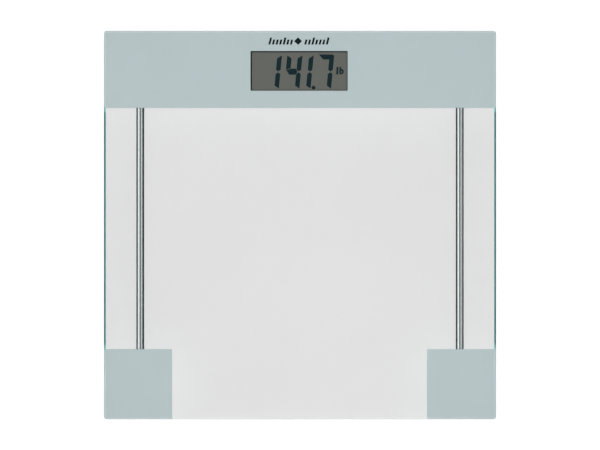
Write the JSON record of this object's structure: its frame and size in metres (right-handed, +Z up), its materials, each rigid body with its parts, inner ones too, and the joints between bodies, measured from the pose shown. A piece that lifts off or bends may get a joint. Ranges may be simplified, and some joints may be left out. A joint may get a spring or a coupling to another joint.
{
  "type": "digital bathroom scale",
  "caption": "Square glass bathroom scale: clear platform with a printed display band and corner squares over mouldings joined by chromed tubes, on sprung feet.",
  "frame": {"origin": "on the floor under the middle of the glass platform", "axes": "+Z up, +Y towards the display edge, +X to the right of a person who stands on it and reads the display"},
  "size_m": [0.303, 0.3, 0.023],
  "materials": {
    "glass": "clear toughened float glass, polished, ground edges",
    "silver_ink": "satin silver-grey screen print on the underside of the glass",
    "foam": "dark closed-cell foam tape",
    "shell": "silver-grey ABS with a fine spark texture",
    "chrome": "bright polished tube",
    "sensor_steel": "nickel-plated spring steel",
    "silicone": "white silicone",
    "foot_plastic": "satin grey ABS",
    "rubber": "dark grey moulded rubber",
    "board": "green glass-fibre board",
    "display": "grey reflective liquid crystal panel",
    "black_plastic": "black moulded plastic",
    "conductive_rubber": "layered conductive rubber",
    "cell_can": "nickel-plated steel can",
    "spring_metal": "plated spring strip",
    "label": "blank silver-white foil label",
    "wire": "flexible insulated wire",
    "screw_steel": "zinc-plated self-tapping screw"
  },
  "bodies": {
    "platform": {"glass_platform": "glass", "display_band_print": "silver_ink", "corner_print_right": "silver_ink", "corner_print_left": "silver_ink", "display_tape": "foam", "pod_tape_right": "foam", "pod_tape_left": "foam", "display_gasket": "foam", "display_housing": "shell", "display_cover": "shell", "pod_housing_right": "shell", "pod_housing_left": "shell", "pod_cover_right": "shell", "pod_cover_left": "shell", "tube_right": "chrome", "tube_left": "chrome", "load_cell_rear_right": "sensor_steel", "gauge_seal_rear_right": "silicone", "load_cell_rear_left": "sensor_steel", "gauge_seal_rear_left": "silicone", "load_cell_front_right": "sensor_steel", "gauge_seal_front_right": "silicone", "load_cell_front_left": "sensor_steel", "gauge_seal_front_left": "silicone", "circuit_board": "board", "lcd_panel": "display", "lcd_frame": "black_plastic", "driver_chip": "black_plastic", "unit_switch": "black_plastic", "zebra_strip": "conductive_rubber", "battery": "cell_can", "battery_contact_negative": "spring_metal", "battery_contact_positive": "spring_metal", "rating_label": "label", "front_sensor_wire_right": "wire", "front_sensor_wire_left": "wire", "rear_sensor_wire_right": "wire", "rear_sensor_wire_left": "wire", "bar_screw_1_right": "screw_steel", "bar_screw_1_left": "screw_steel", "bar_screw_2_right": "screw_steel", "bar_screw_2_left": "screw_steel", "bar_screw_3_right": "screw_steel", "bar_screw_3_left": "screw_steel", "pod_screw_1_right": "screw_steel", "pod_screw_1_left": "screw_steel", "pod_screw_2_right": "screw_steel", "pod_screw_2_left": "screw_steel"},
    "foot_assembly_rear_right": {"foot_rear_right": "foot_plastic", "foot_pad_rear_right": "rubber"},
    "foot_assembly_rear_left": {"foot_rear_left": "foot_plastic", "foot_pad_rear_left": "rubber"},
    "foot_assembly_front_right": {"foot_front_right": "foot_plastic", "foot_pad_front_right": "rubber"},
    "foot_assembly_front_left": {"foot_front_left": "foot_plastic", "foot_pad_front_left": "rubber"},
    "unit_button": {"unit_button": "foot_plastic", "switch_plunger": "silicone"},
    "battery_cover": {"battery_cover": "shell"}
  },
  "joints": [
    {"name": "foot_press_rear_right", "type": "slide", "parent": "platform", "child": "foot_assembly_rear_right", "axis": [0, 0, 1], "range_m": [0, 0.0005], "stiffness_N_per_m": 60000, "springref_m": -0.0002},
    {"name": "foot_press_rear_left", "type": "slide", "parent": "platform", "child": "foot_assembly_rear_left", "axis": [0, 0, 1], "range_m": [0, 0.0005], "stiffness_N_per_m": 60000, "springref_m": -0.0002},
    {"name": "foot_press_front_right", "type": "slide", "parent": "platform", "child": "foot_assembly_front_right", "axis": [0, 0, 1], "range_m": [0, 0.0005], "stiffness_N_per_m": 60000, "springref_m": -0.0002},
    {"name": "foot_press_front_left", "type": "slide", "parent": "platform", "child": "foot_assembly_front_left", "axis": [0, 0, 1], "range_m": [0, 0.0005], "stiffness_N_per_m": 60000, "springref_m": -0.0002},
    {"name": "unit_button_press", "type": "slide", "parent": "platform", "child": "unit_button", "axis": [0, 0, 1], "range_m": [0, 0.0005], "stiffness_N_per_m": 400, "springref_m": -0.0003},
    {"name": "battery_cover_hinge", "type": "hinge", "parent": "platform", "child": "battery_cover", "pos_m": [0.0939, 0.1202, 0.0033], "axis": [0, -1, 0], "range_deg": [0, 95]}
  ]
}
